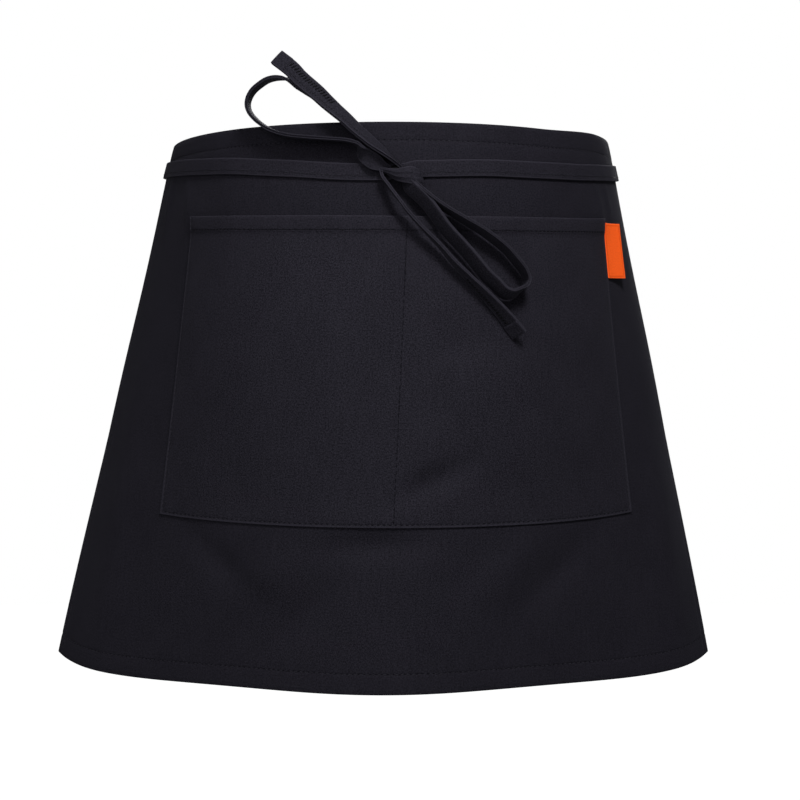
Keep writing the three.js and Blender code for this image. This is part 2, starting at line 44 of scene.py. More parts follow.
# Skirt
CLOTH_WIDTH = 600
CLOTH_LENGTH = 400
CLOTH_THICKNESS = 1.2
HEM_EXTRA = 0.8
HEM_STEP = 1.5
TOP_HEM = 14.5
BOTTOM_HEM = 16
SIDE_HEM = 9
WAIST_FRONT = 136
WAIST_DOWN = 30
FRONT_LEAN = 15
SIDE_DROP = 4
HEM_SWAY = -6
FLARE_POWER = 0.85
FOLD_HEIGHT = 5
HEM_RISE = 2.4

# Where the top edge rides up at the right: how far, between which shares of the half width it begins and
# ends, and how far down it fades
TOP_RISE = 3.4
TOP_RISE_BEGINS = (0.38, 0.64)
TOP_RISE_ENDS = (0.7, 0.92)
TOP_RISE_DEPTH = 3 * TOP_HEM

# Pocket
POCKET_MOUTH_WIDTH = 356
POCKET_BOTTOM_WIDTH = 396
POCKET_HEIGHT = 218
POCKET_DOWN = 60
POCKET_SAG = 6.5
POCKET_CENTRE = 12
POCKET_THICKNESS = 1.2
POCKET_MOUTH_HEM = 10.5
POCKET_SEAM_TOP = 1.1
POCKET_SEAM_BOTTOM = -5.5

# Room inside the pocket: its most, its share of that at the mouth, the share of the height below which it
# has all of it, and the powers that shape it across and downwards
POCKET_BULGE = 8
MOUTH_SHARE = 0.4
LIP_SHARE = 0.4
ROOM_POWER_ACROSS = 0.8
ROOM_POWERS_DOWN = (3, 1.5)

# Label
LABEL_WIDTH = 20
LABEL_HEIGHT = 41
LABEL_DOWN = 3
LABEL_THICKNESS = 1
LABEL_LIFT = 4.3
LABEL_CURL = 1.5

# Ties and bow
TIE_WIDTH = 12
TIE_THICKNESS = 1.5
STRAP_THICKNESS = 2.2
TIE_LAP = 16
KNOT_ALONG = 8
KNOT_DOWN = 36
KNOT_WIDTH = 20
KNOT_HEIGHT = 11
KNOT_DEPTH = 9
KNOT_TILT = -17
CORE_INSETS = (1.5, 0.6, 1.2)

# At the knot: the share of its width that a tie keeps and where it widens, in widths of the knot, the share
# that a strap of the bow keeps, how far a tie stands out, as a share of the knot's depth, and how far the
# edges of the straps and of the wound one curl back
TIE_AT_KNOT = 0.7
TIE_WIDENS = (0.1, 0.5)
STRAP_AT_KNOT = 0.45
TIE_KNOT_RISE = 0.3
STRAP_CROWN = 0.3
WRAP_CROWN = 1.3

# Small waves along the ties
RIPPLE_HEIGHTS = (0.15, 0.09)
RIPPLE_LENGTHS = (23, 9.5)

# Turned tips and overlock bars of the free ends, and the open edge of the folded tapes
TIP_LENGTH = 11
TIP_EXTRA = 0.8
TIP_BEND = 0.3
TIP_ROW = 0.6
TIP_STITCH_LENGTH = 1.9
SLIT_DEPTH = 2.2
BARRED = 44
BAR_GAP = 1
BAR_PITCH = 2.4
BAR_LENGTH = 4.2
BAR_WIDTH = 1.3
BAR_TURN = 74
BAR_UP = 3.9

# Stitching
STITCH_PITCH = 4
CENTRE_PITCH = 5
NEEDLE_GAP = 0.7
THREAD = 0.45
TOP_STITCH = 13
BOTTOM_STITCH = 14.2
SIDE_STITCH = 7.5
MOUTH_STITCH = 10
POCKET_STITCH = 2
TAPE_STITCH = 3
TAPE_PITCH = 2.2
TAPE_STITCH_LENGTH = 1.5
ROW_INSET = 0.5
BOX_INSET = 1.5

# How far a seam draws the cloth in, how that fades across it and at its ends, and how it varies along it
SEAM_DIP = 0.35
SEAM_SPREAD = 1.1
SEAM_INSIDE = 1
SEAM_BEYOND = 2
PUCKER = 0.25
PUCKER_LENGTHS = (4.3, 11)

# Turn of the cloth away from the front, in plan, at shares of its half width
DRAPE = {
    "along": [0, 0.2, 0.4, 0.6, 0.8, 1],
    "waist_turn": [0, 19, 41, 62, 85, 127],
    "hem_turn": [0, 22, 30, 34, 41, 65],
}

# Soft folds: the middle as shares of the half width and the length, the half run and the half spread as
# shares of the length, the lean from upright, and the height as a share of FOLD_HEIGHT, below 0 for a valley
FOLDS = [
    (-0.41, 0.785, 0.1, 0.028, -55, -0.65),
    (-0.3, 0.8, 0.1, 0.035, 50, 0.85),
    (-0.2, 0.87, 0.1, 0.035, 50, -0.9),
    (0.31, 0.78, 0.1, 0.035, 50, 0.6),
    (0.46, 0.79, 0.1, 0.028, 50, -0.5),
    (-0.55, 0.14, 0.03, 0.03, 14, 0.3),
    (0.61, 0.14, 0.03, 0.03, -20, 0.3),
    (-0.4, 0.16, 0.12, 0.05, 8, 0.35),
    (0.115, 0.63, 0.06, 0.026, 64, -1.05),
    (0.17, 0.39, 0.06, 0.045, 80, -0.55),
    (-0.03, 0.742, 0.09, 0.024, 88, -0.9),
    (-0.78, 0.72, 0.3, 0.05, 5, 0.5),
    (0.83, 0.76, 0.28, 0.05, -5, 0.5),
    (0, 1.02, 0.2, 0.12, 4, 0.55),
    (-0.58, 0.12, 0.045, 0.007, -4, 0.3),
    (0.62, 0.12, 0.045, 0.006, -22, 0.22),
    (0.68, 0.11, 0.04, 0.006, -24, 0.2),
    (-0.7, 0.11, 0.05, 0.012, 6, 0.3),
    (-0.95, 0.44, 0.2, 0.09, 5, 0.36),
    (0.95, 0.42, 0.22, 0.09, -5, 0.48),
]

# Height of the ties where they pass the sides of the front, from the corner's height (0) to the knot's (1)
FRONT_ROUTE = {
    "along": [0, 0.1, 0.25, 0.4, 0.6, 0.85, 1],
    "left_side": [1, 0.95, 0.75, 0.54, 0.3, 0.06, 0],
    "right_side": [0.92, 0.83, 0.75, 0.69, 0.5, 0.16, 0],
}

# Crossing behind the waist, from the left corner (0) to the right (1): heights below the top in tie widths
BACK_ROUTE = {
    "around": [0, 0.12, 0.3, 0.6, 1],
    "from_left": [0.65, 0.56, 0.6, 0.95, 1.4],
    "from_right": [1.4, 1.72, 1.8, 1.3, 0.65],
}
SWAP_FROM = 0.12
SWAP_TO = 0.3

# Routes of the bow's straps from the knot's middle, in mm: across, up, how far the middle of the strap
# stands out from the cloth, the turn of its face from the front (0) to edge on (90) and over, and, where it
# is rolled up, the share of its width that it keeps
UPPER_END = [
    (4, -1, 5, 86),
    (-0.7, 3.9, 6.2, 86),
    (-8.1, 10.5, 7.6, 78),
    (-14.2, 15.6, 8.4, 66),
    (-20.9, 20.8, 8.6, 57),
    (-26.8, 26.1, 8.6, 51),
    (-32.9, 31.5, 8.5, 49),
    (-39, 37.5, 8.4, 46),
    (-46, 43.7, 8, 40),
    (-52.4, 49.7, 7.5, 30),
    (-59.1, 56.3, 7, 21),
    (-71.2, 67.2, 6, 13),
    (-76.7, 73.4, 5.6, 10),
    (-87.9, 82.8, 5, 8),
]
UPPER_LOOP = [
    (-8, 1.6, 5, 178),
    (-13.8, 4.4, 5.6, 176),
    (-19.2, 7.4, 6, 170),
    (-24, 10.9, 6.2, 156),
    (-26.6, 13.6, 6.6, 134),
    (-28, 16.2, 7, 106),
    (-29.6, 18.9, 7.4, 94),
    (-33, 20.7, 7.4, 90),
    (-38.5, 22.2, 7.4, 89),
    (-54.4, 23.9, 7.4, 88),
    (-67.5, 25.3, 7.4, 88),
    (-77.8, 26.7, 7.4, 89),
    (-85.3, 28.7, 7.4, 87),
    (-91.8, 31.5, 7.4, 84),
    (-97.4, 35.1, 7.4, 82),
    (-103, 39.9, 7.4, 81),
    (-107.2, 45.3, 7.4, 81),
    (-108.8, 50.2, 7.4, 81),
    (-107.9, 54.9, 7.4, 81),
    (-104.9, 59.6, 7.4, 82),
    (-99.3, 64, 7.4, 83),
    (-93.7, 66.8, 7, 84),
    (-88.1, 67.8, 6, 87),
    (-82.5, 67.4, 4.6, 93),
    (-77.4, 66.2, 3, 112),
    (-71, 63.8, 1.8, 146),
    (-64, 59.8, 1.8, 160),
    (-59.1, 56.3, 2.2, 158),
    (-52.4, 49.7, 3, 150),
    (-46, 43.7, 4, 140),
    (-39, 37.5, 4.8, 134),
    (-32.9, 31.5, 5.2, 131),
    (-20.9, 20.8, 5.4, 123),
    (-14.2, 15.6, 5.2, 114),
    (-8.1, 10.5, 4.8, 102),
    (-0.7, 3.9, 4, 94),
    (4, -1, 3.4, 90),
]
LOWER_LOOP = [
    (0.3, -1, 5, 60),
    (5.8, -10.2, 7.2, 42),
    (16.9, -21.3, 7.6, 46),
    (23.4, -29.7, 7.4, 47),
    (30.9, -40, 7.4, 47),
    (42.1, -52.1, 7.4, 47),
    (49.6, -60.5, 7.4, 47),
    (58.9, -71.7, 7.4, 45),
    (65.2, -77.6, 7.2, 43),
    (73, -84.6, 7.2, 48),
    (78.6, -85.2, 7.6, 68),
    (84, -82, 8, 86),
    (87.8, -78.6, 8, 100),
    (88.7, -74.2, 8, 112),
    (86.3, -68.2, 8, 114),
    (80, -60.3, 8, 114),
    (73.4, -53.1, 8, 112),
    (64.2, -45.9, 8, 112),
    (56, -40.3, 8, 110),
    (42.2, -32.4, 7.8, 108),
    (29.1, -24.3, 7.6, 104),
    (20.7, -17.7, 7.2, 100),
    (14.5, -11.8, 6.4, 94),
    (7, -4.4, 5, 90),
]
LOWER_END = [
    (-14.6, 1.4, 4, 88, 0.5),
    (-13.4, -3.4, 6, 88, 0.5),
    (-8.8, -10, 8, 88, 0.5),
    (-0.4, -21.6, 9, 87, 0.5),
    (4.2, -27.8, 8.8, 86, 0.5),
    (14.3, -39.1, 7.8, 82, 0.52),
    (27.2, -52.4, 6.4, 74, 0.6),
    (36.3, -63.1, 5.6, 68, 0.68),
    (47.1, -74.1, 5, 62, 0.78),
    (57.9, -84.8, 4.7, 55, 0.87),
    (67.7, -95.1, 4.6, 47, 0.95),
    (76.5, -105.1, 4.4, 38, 1),
    (83.2, -113.4, 4, 30, 1),
]

# The strap that is wound over the knot: across and up from the knot's middle, how far it stands out from the
# cloth, and its width
KNOT_WRAP = [
    (-15, 1.4, 5.4, 3.4),
    (-9.5, -0.1, 8, 4.6),
    (-3, -2.4, 10, 8.6),
    (2, -2.6, 10.8, 11),
    (6.5, -2.6, 10.6, 12.4),
    (10.5, -3.4, 9.2, 12.2),
    (13.4, -3.8, 6.6, 11.8),
    (14, -3.6, 3.6, 11),
    (12.4, -3, 1.6, 9),
]

# Creases in it: height, pitch and phase across the strap, and how fast they drift along it
CREASES = ((0.6, 4.6, 0, 0.05), (0.25, 2.6, 1, 0.08))
CREASE_EDGE = 1.5

TAU = 2 * math.pi
HALF = CLOTH_WIDTH / 2
LATTICE_COLUMNS = 240
LATTICE_ROWS = 200
CURVE_STEPS = 24
DEPTH_ROUNDS = 5


def mix(start, end, share):
    return start + (end - start) * share


def smooth_step(value, low, high):
    share = np.clip((value - low) / (high - low), 0, 1)
    return share * share * (3 - 2 * share)


def read(table, column, place):
    """Smooth values of a column at places in the table's first one."""
    places = np.array(next(iter(table.values())), float)
    values = np.array(table[column], float)
    slopes = np.empty_like(values)
    slopes[1:-1] = (values[2:] - values[:-2]) / (places[2:] - places[:-2])
    slopes[0] = (values[1] - values[0]) / (places[1] - places[0])
    slopes[-1] = (values[-1] - values[-2]) / (places[-1] - places[-2])
    row = np.clip(np.searchsorted(places, place) - 1, 0, len(places) - 2)
    span = places[row + 1] - places[row]
    t = (place - places[row]) / span
    shape = (2 * t - 3) * t * t + 1
    start = shape * values[row] + ((t - 2) * t + 1) * t * span * slopes[row]
    return start + (1 - shape) * values[row + 1] + (t - 1) * t * t * span * slopes[row + 1]


# Worn form of the cloth

def turn_at(along_share, down_share):
    waist = read(DRAPE, "waist_turn", along_share)
    hem = read(DRAPE, "hem_turn", along_share)
    return np.radians(mix(waist, hem, down_share ** FLARE_POWER))


def drape_lattice():
    """The right half of the cloth's face: each row keeps its width and each column its length."""
    step = HALF / LATTICE_COLUMNS
    down = np.linspace(0, 1, LATTICE_ROWS + 1)[:, None]
    turn = turn_at((np.arange(LATTICE_COLUMNS)[None, :] + 0.5) / LATTICE_COLUMNS, down)
    start = np.zeros((LATTICE_ROWS + 1, 1))
    x = np.hstack([start, np.cumsum(step * np.cos(turn), axis=1)])
    y = np.hstack([start, np.cumsum(step * np.sin(turn), axis=1)]) - WAIST_FRONT - FRONT_LEAN * down
    top = WAIST_DOWN - SIDE_DROP * np.linspace(0, 1, LATTICE_COLUMNS + 1) ** 2
    fall = CLOTH_LENGTH / LATTICE_ROWS
    drop = np.sqrt(np.maximum(fall ** 2 - np.diff(x, axis=0) ** 2 - np.diff(y, axis=0) ** 2, 0))
    z = top - np.vstack([np.zeros(LATTICE_COLUMNS + 1), np.cumsum(drop, axis=0)])
    return np.stack([x, y, z], axis=-1)


LATTICE = drape_lattice()


def drape(along, down):
    """The smooth drape, without folds, at distances along from the middle and down from the top edge."""
    column = np.clip(np.abs(along) / HALF, 0, 1) * LATTICE_COLUMNS
    row = np.clip(down / CLOTH_LENGTH, 0, 1) * LATTICE_ROWS
    i = np.minimum(column.astype(int), LATTICE_COLUMNS - 1)
    j = np.minimum(row.astype(int), LATTICE_ROWS - 1)
    s = (column - i)[:, None]
    upper = mix(LATTICE[j, i], LATTICE[j, i + 1], s)
    lower = mix(LATTICE[j + 1, i], LATTICE[j + 1, i + 1], s)
    point = mix(upper, lower, (row - j)[:, None])
    point[:, 0] = point[:, 0] * np.where(along < 0, -1, 1) + HEM_SWAY * row / LATTICE_ROWS
    return point


def drape_normal(along, down):
    reach = 5
    a = np.clip(along, reach - HALF, HALF - reach)
    d = np.clip(down, reach, CLOTH_LENGTH - reach)
    across = drape(a + reach, d) - drape(a - reach, d)
    downward = drape(a, d + reach) - drape(a, d - reach)
    normal = np.cross(downward, across)
    return normal / np.linalg.norm(normal, axis=1)[:, None]


def fold_height(along, down):
    total = np.zeros_like(along)
    for middle, level, run, spread, lean, height in FOLDS:
        x = along - middle * HALF
        y = down - level * CLOTH_LENGTH
        c, s = math.cos(math.radians(lean)), math.sin(math.radians(lean))
        length = (y * c - x * s) / (run * CLOTH_LENGTH)
        width = (x * c + y * s) / (spread * CLOTH_LENGTH)
        total += height * FOLD_HEIGHT * np.exp(-length ** 2 - width ** 2)
    return total


def cloth(along, down, out):
    """Points in front of the worn cloth's face by the distances out."""
    height = out + fold_height(along, down)
    return drape(along, down) + drape_normal(along, down) * height[:, None]


def folded(*inside):
    """1 where the cloth is folded double, from how far inside each folded part a point is."""
    return smooth_step(np.maximum.reduce([*inside]), -HEM_STEP, 0)


def skirt_place(x, y, z):
    """The skirt's worn form: its lower edge is cut a little higher between the middle and the corners, and
    its top edge rides up a little at the right."""
    down = -y
    double = folded(TOP_HEM - down, down - CLOTH_LENGTH + BOTTOM_HEM, np.abs(x) - HALF + SIDE_HEM)
    rise = HEM_RISE * np.sin(np.pi * np.abs(x) / HALF) ** 2
    risen = down - rise * smooth_step(down, CLOTH_LENGTH / 2, CLOTH_LENGTH - BOTTOM_HEM)
    thick = np.where(z < 0, 1 + HEM_EXTRA / CLOTH_THICKNESS * double, 1)
    point = cloth(x, risen, z * thick - seam_dip(SKIRT_SEAMS, x, y))
    right = smooth_step(x / HALF, *TOP_RISE_BEGINS) * (1 - smooth_step(x / HALF, *TOP_RISE_ENDS))
    point[:, 2] += TOP_RISE * right * (1 - smooth_step(down, 0, TOP_RISE_DEPTH))
    return point


def pocket_room(side, drop):
    """Room inside each half of the pocket, shut at the side, the middle seam and the bottom."""
    across = np.sin(np.pi * np.clip(np.abs(side), 0, 1)) ** ROOM_POWER_ACROSS
    lips = mix(MOUTH_SHARE, 1, smooth_step(drop, 0, LIP_SHARE))
    fall, shut = ROOM_POWERS_DOWN
    return POCKET_BULGE * lips * across * (1 - np.clip(drop, 0, 1) ** fall) ** shut


def pocket_place(x, y, z):
    side = 2 * x / POCKET_BOTTOM_WIDTH
    drop = -y / POCKET_HEIGHT
    width = mix(POCKET_MOUTH_WIDTH, POCKET_BOTTOM_WIDTH, drop)
    down = POCKET_DOWN + POCKET_SAG * (1 - side * side) - y
    seam = 2 * mix(POCKET_SEAM_TOP, POCKET_SEAM_BOTTOM, drop) / POCKET_BOTTOM_WIDTH
    from_seam = (side - seam) / (1 - seam * np.sign(side - seam))
    thick = POCKET_THICKNESS + HEM_EXTRA * folded(POCKET_MOUTH_HEM + y)
    out = GAP / 3 + pocket_room(from_seam, drop) + thick * (1 + z / POCKET_THICKNESS)
    return cloth(POCKET_CENTRE + side * width / 2, down, out - seam_dip(POCKET_SEAMS, x, y))


def label_place(x, y, z):
    """The label comes out of the pocket's right edge, and its free edge lifts a little."""
    drop = LABEL_DOWN - y
    width = mix(POCKET_MOUTH_WIDTH, POCKET_BOTTOM_WIDTH, drop / POCKET_HEIGHT)
    across = x + LABEL_WIDTH / 2
    lift = LABEL_LIFT * (across / LABEL_WIDTH) ** LABEL_CURL
    return cloth(POCKET_CENTRE + width / 2 + GAP + across, POCKET_DOWN + drop,
                 GAP + lift + LABEL_THICKNESS + z)


# The ring that the ties follow: the cloth, and behind it an arc from one side edge round to the other

def back_arc(down):
    edge = drape(np.full_like(down, HALF), down)
    turn = turn_at(1, down / CLOTH_LENGTH)
    return edge, turn, edge[:, 0] / np.sin(turn)


def back_half_length():
    _, turn, radius = back_arc(np.zeros(1))
    return float(radius[0] * (np.pi - turn[0]))


BACK_HALF = back_half_length()


def ring(along, down, out):
    point = cloth(np.clip(along, -HALF, HALF), down, out)
    edge, turn, radius = back_arc(down)
    here = mix(turn, np.pi, (np.abs(along) - HALF) / BACK_HALF)
    x = (radius + out) * np.sin(here) * np.where(along < 0, -1, 1)
    y = edge[:, 1] + radius * np.cos(turn) - (radius + out) * np.cos(here)
    behind = (np.abs(along) > HALF)[:, None]
    return np.where(behind, np.stack([x, y, edge[:, 2]], axis=1), point)


def layer_out(layer):
    return GAP + layer * (TIE_THICKNESS + 2 * GAP)


def tie_length(side):
    return TIE_LAP + 2 * BACK_HALF + HALF + side * KNOT_ALONG


def tie_place(side):
    """A tie, from its corner round the back and the far side to the knot; side is the corner's sign."""
    own = "from_left" if side < 0 else "from_right"
    front_side = "right_side" if side < 0 else "left_side"
    pass_down = TIE_WIDTH * BACK_ROUTE[own][-1 if side < 0 else 0]

    def place(x, y, z):
        run = x + tie_length(side) / 2 - TIE_LAP
        share = np.clip(run / (2 * BACK_HALF), 0, 1)
        around = share if side < 0 else 1 - share
        along = np.where(run > BACK_HALF, -side * (HALF + 2 * BACK_HALF - run), side * (HALF + run))
        outer = smooth_step(around, SWAP_FROM, SWAP_TO)
        out = layer_out(outer if side < 0 else 1 - outer)
        down = TIE_WIDTH * read(BACK_ROUTE, own, around)
        front = run > 2 * BACK_HALF
        rise = read(FRONT_ROUTE, front_side, np.clip(np.abs(along) / HALF, 0, 1))
        near = np.abs(along - KNOT_ALONG)
        settled = smooth_step(np.abs(along), HALF - 4 * TIE_LAP, HALF - 2 * TIE_LAP)
        knot_rise = TIE_KNOT_RISE * KNOT_DEPTH * (1 - smooth_step(near, 0, KNOT_WIDTH))
        knot_out = mix(layer_out(0), out, settled) + knot_rise
        narrow = mix(TIE_AT_KNOT, 1, smooth_step(near / KNOT_WIDTH, *TIE_WIDENS))
        down = np.where(front, mix(pass_down, KNOT_DOWN, rise), down)
        waves = [np.sin(run / RIPPLE_LENGTHS[0] + side), np.sin(run / RIPPLE_LENGTHS[1])]
        ripple = RIPPLE_HEIGHTS[0] * waves[0] + RIPPLE_HEIGHTS[1] * waves[1]
        width = np.where(front, narrow, 1)
        return ring(along, down - (y + TIE_WIDTH / 2) * width + ripple,
                    np.where(front, knot_out, out) + TIE_THICKNESS + z)
    return place


def knot_middle():
    along, down, out = np.array([[KNOT_ALONG], [KNOT_DOWN], [GAP + KNOT_DEPTH / 2]], float)
    return cloth(along, down, out)[0]


def pocket_face(along, down):
    """How far the pocket's face stands out from the cloth, rising to it from a little above the mouth."""
    side = np.clip((along - POCKET_CENTRE) / (POCKET_MOUTH_WIDTH / 2), -1, 1)
    drop = np.clip((down - POCKET_DOWN) / POCKET_HEIGHT, 0, 1)
    face = GAP + pocket_room(side, drop) + POCKET_THICKNESS + HEM_EXTRA
    return face * smooth_step(down, KNOT_DOWN + KNOT_HEIGHT / 2, POCKET_DOWN)


def front_depth(x, z):
    """The depth of the frontmost cloth at places seen from the front, or of its top edge above that."""
    along = x.copy()
    down = WAIST_DOWN - z
    for _ in range(DEPTH_ROUNDS):
        here = cloth(along, np.maximum(down, 0), pocket_face(along, down))
        along += x - here[:, 0]
        down += np.where(down > 0, here[:, 2] - z, 0)
    return here[:, 1]


def smooth_curve(points, steps):
    """Points close together on a smooth curve through the given ones."""
    ends = np.vstack([2 * points[0] - points[1], points, 2 * points[-1] - points[-2]])
    t = np.linspace(0, 1, steps, endpoint=False)[:, None]
    made = []
    for p0, p1, p2, p3 in zip(ends, ends[1:], ends[2:], ends[3:]):
        a, b, c = (math.sqrt(np.linalg.norm(q - p)) for p, q in ((p0, p1), (p1, p2), (p2, p3)))
        leave = ((p1 - p0) / a - (p2 - p0) / (a + b) + (p2 - p1) / b) * b
        arrive = ((p2 - p1) / b - (p3 - p1) / (b + c) + (p3 - p2) / c) * b
        bend = 3 * (p2 - p1) - 2 * leave - arrive
        made.append(p1 + leave * t + bend * t ** 2 + (2 * (p1 - p2) + leave + arrive) * t ** 3)
    return np.vstack([*made, points[-1:]])


def swept_place(centre, broad, width, crown):
    """The length of a curve, and a way to lay a flat strap along it: broad is its width's direction, width a
    share of its own width, and crown how far its two edges curl back."""
    run = np.concatenate([[0], np.cumsum(np.linalg.norm(np.diff(centre, axis=0), axis=1))])
    tangent = np.gradient(centre, run, axis=0)
    tangent /= np.linalg.norm(tangent, axis=1)[:, None]
    broad = broad - tangent * np.sum(broad * tangent, axis=1)[:, None]
    broad /= np.linalg.norm(broad, axis=1)[:, None]
    thick = np.cross(tangent, broad)

    def along(values, at):
        return np.stack([np.interp(at, run, values[:, k]) for k in range(3)], axis=1)

    def place(x, y, z):
        at = x + run[-1] / 2
        up = y + TIE_WIDTH / 2
        out = z + STRAP_THICKNESS / 2 - crown * (2 * up / TIE_WIDTH) ** 2
        across = along(broad, at) * (up * np.interp(at, run, width))[:, None]
        return along(centre, at) + across + along(thick, at) * out[:, None]
    return float(run[-1]), place


def bow_place(route, pinch):
    """One strap of the bow; pinch is where it widens to its full width, in distances from the knot."""
    rows = np.array([(*row, 1)[:5] for row in route], float)
    middle = knot_middle()
    x, z = middle[0] + rows[:, 0], middle[2] + rows[:, 1]
    centre = smooth_curve(np.stack([x, front_depth(x, z) - rows[:, 2], z], axis=1), CURVE_STEPS)
    spots = np.linspace(0, len(rows) - 1, len(centre))
    face, kept = (np.interp(spots, np.arange(len(rows)), rows[:, column]) for column in (3, 4))
    face = np.radians(face)
    tangent = np.gradient(centre, axis=0)
    side = np.stack([-tangent[:, 2], np.zeros(len(centre)), tangent[:, 0]], axis=1)
    side /= np.linalg.norm(side, axis=1)[:, None]
    broad = side * np.cos(face)[:, None] - np.array([[0, 1, 0]]) * np.sin(face)[:, None]
    from_knot = np.hypot(centre[:, 0] - middle[0], centre[:, 2] - middle[2])
    width = kept * mix(STRAP_AT_KNOT, 1, smooth_step(from_knot, *pinch))
    return swept_place(centre, broad, width, STRAP_CROWN)


def wrap_place():
    """The strap wound over the knot, drawn into creases."""
    rows = np.array(KNOT_WRAP, float)
    middle = knot_middle()
    back = middle[1] + GAP + KNOT_DEPTH / 2
    points = np.stack([middle[0] + rows[:, 0], back - rows[:, 2], middle[2] + rows[:, 1]], axis=1)
    centre = smooth_curve(points, CURVE_STEPS)
    spots = np.linspace(0, len(rows) - 1, len(centre))
    width = np.interp(spots, np.arange(len(rows)), rows[:, 3]) / TIE_WIDTH
    lean = math.radians(KNOT_TILT)
    broad = np.tile([[math.sin(lean), 0, math.cos(lean)]], (len(centre), 1))
    length, lay_flat = swept_place(centre, broad, width, WRAP_CROWN)

    def place(x, y, z):
        crease = sum(height * np.sin(TAU * y / pitch + phase + x * drift)
                     for height, pitch, phase, drift in CREASES)
        edges = smooth_step(y, -TIE_WIDTH, CREASE_EDGE - TIE_WIDTH) * smooth_step(-y, 0, CREASE_EDGE)
        return lay_flat(x, y, z + crease * edges)
    return length, place


# Seams on the flat pieces: each is a straight line between two points, with the pitch of its stitches
SKIRT_SIDE = HALF - SIDE_STITCH
SKIRT_LOW = BOTTOM_STITCH - CLOTH_LENGTH
SKIRT_SEAMS = [
    ((-HALF, -TOP_STITCH), (HALF, -TOP_STITCH), STITCH_PITCH),
    ((-HALF, SKIRT_LOW), (HALF, SKIRT_LOW), STITCH_PITCH),
    ((-SKIRT_SIDE, 0), (-SKIRT_SIDE, -CLOTH_LENGTH), STITCH_PITCH),
    ((SKIRT_SIDE, 0), (SKIRT_SIDE, -CLOTH_LENGTH), STITCH_PITCH),
]
POCKET_HALF = POCKET_BOTTOM_WIDTH / 2
POCKET_SIDE = POCKET_HALF - POCKET_STITCH
POCKET_LOW = POCKET_STITCH - POCKET_HEIGHT
POCKET_SEAMS = [
    ((-POCKET_HALF, -MOUTH_STITCH), (POCKET_HALF, -MOUTH_STITCH), STITCH_PITCH),
    ((-POCKET_SIDE, 0), (-POCKET_SIDE, POCKET_LOW), STITCH_PITCH),
    ((POCKET_SIDE, 0), (POCKET_SIDE, POCKET_LOW), STITCH_PITCH),
    ((-POCKET_SIDE, POCKET_LOW), (POCKET_SIDE, POCKET_LOW), STITCH_PITCH),
    ((POCKET_SEAM_TOP, 0), (POCKET_SEAM_BOTTOM, POCKET_LOW), CENTRE_PITCH),
]
POCKET_EDGE_SEAMS = POCKET_SEAMS[1:4]
POCKET_MOUTH_AND_CENTRE_SEAMS = POCKET_SEAMS[::4]

# Edges lit paler by a painted highlight: each is a straight line between two points, with its spread
POCKET_RIM = POCKET_HALF - POCKET_STITCH / 2
POCKET_RIM_LOW = 0.6 - POCKET_HEIGHT
POCKET_PAINTED_HIGHLIGHTS = [
    ((-POCKET_HALF, 0), (POCKET_HALF, 0), 1.1),
    ((-POCKET_RIM, 0), (-POCKET_RIM, -POCKET_HEIGHT), 2),
    ((POCKET_RIM, 0), (POCKET_RIM, -POCKET_HEIGHT), 2),
    ((-POCKET_SIDE, POCKET_RIM_LOW), (POCKET_SIDE, POCKET_RIM_LOW), 1.2),
]
TAPE_PAINTED_HIGHLIGHTS = [
    ((0, 0), (1, 0), 1.2),
    ((0, -TIE_WIDTH), (1, -TIE_WIDTH), 1.2),
]


def seam_dip(seams, x, y):
    """How far the cloth is drawn in along its seams, a little unevenly."""
    dip = np.zeros_like(x)
    for (x0, y0), (x1, y1), _ in seams:
        length = math.hypot(x1 - x0, y1 - y0)
        across = ((x - x0) * (y1 - y0) - (y - y0) * (x1 - x0)) / length
        run = ((x - x0) * (x1 - x0) + (y - y0) * (y1 - y0)) / length
        on = (smooth_step(run, -SEAM_BEYOND, SEAM_INSIDE)
              * (1 - smooth_step(run, length - SEAM_INSIDE, length + SEAM_BEYOND)))
        waves = np.sin(run / PUCKER_LENGTHS[0]) * np.sin(run / PUCKER_LENGTHS[1] + 1)
        drawn = SEAM_DIP * (1 - PUCKER + PUCKER * waves) * on
        dip = np.maximum(dip, drawn * np.exp(-(across / SEAM_SPREAD) ** 2))
    return dip


# Cutting and sewing flat
MERGE = 0.01
SHARP_ANGLE = 1
SEAM_CUTS = (-1.4, -0.7, 0, 0.7, 1.4)


def scene_object(name, data):
    made = bpy.data.objects.new(name, data)
    bpy.context.scene.collection.objects.link(made)
    return made


def as_mesh(name, piece):
    mesh = bpy.data.meshes.new(name)
    piece.to_mesh(mesh)
    piece.free()
    return mesh


def everything(piece):
    return [*piece.verts, *piece.edges, *piece.faces]


def new_verts(made):
    return [part for part in made["geom"] if isinstance(part, bmesh.types.BMVert)]


def seam_cuts(at):
    return [at + offset for offset in SEAM_CUTS]


def flat_piece(width, height, thickness, columns, rows, rim, cuts_x=(), cuts_y=()):
    """A flat cloth with rounded edges, cut also along the given lines so that it can bend there."""
    piece = bmesh.new()
    bmesh.ops.create_grid(piece, x_segments=columns, y_segments=rows, size=0.5)
    bmesh.ops.scale(piece, vec=(width, height, 1), verts=piece.verts)
    bmesh.ops.translate(piece, vec=(0, -height / 2, 0), verts=piece.verts)
    for normal, cuts in (((1, 0, 0), cuts_x), ((0, 1, 0), cuts_y)):
        for cut in cuts:
            bmesh.ops.bisect_plane(piece, geom=everything(piece), dist=MERGE,
                                   plane_co=[cut * part for part in normal], plane_no=normal)
    made = bmesh.ops.extrude_face_region(piece, geom=piece.faces[:], use_keep_orig=True)
    bmesh.ops.translate(piece, vec=(0, 0, -thickness), verts=new_verts(made))
    bmesh.ops.recalc_face_normals(piece, faces=piece.faces[:])
    edges = [edge for edge in piece.edges if edge.is_manifold and edge.calc_face_angle() > SHARP_ANGLE]
    bmesh.ops.bevel(piece, geom=edges, offset=rim, segments=2, profile=0.5, affect="EDGES", material=-1)
    return piece


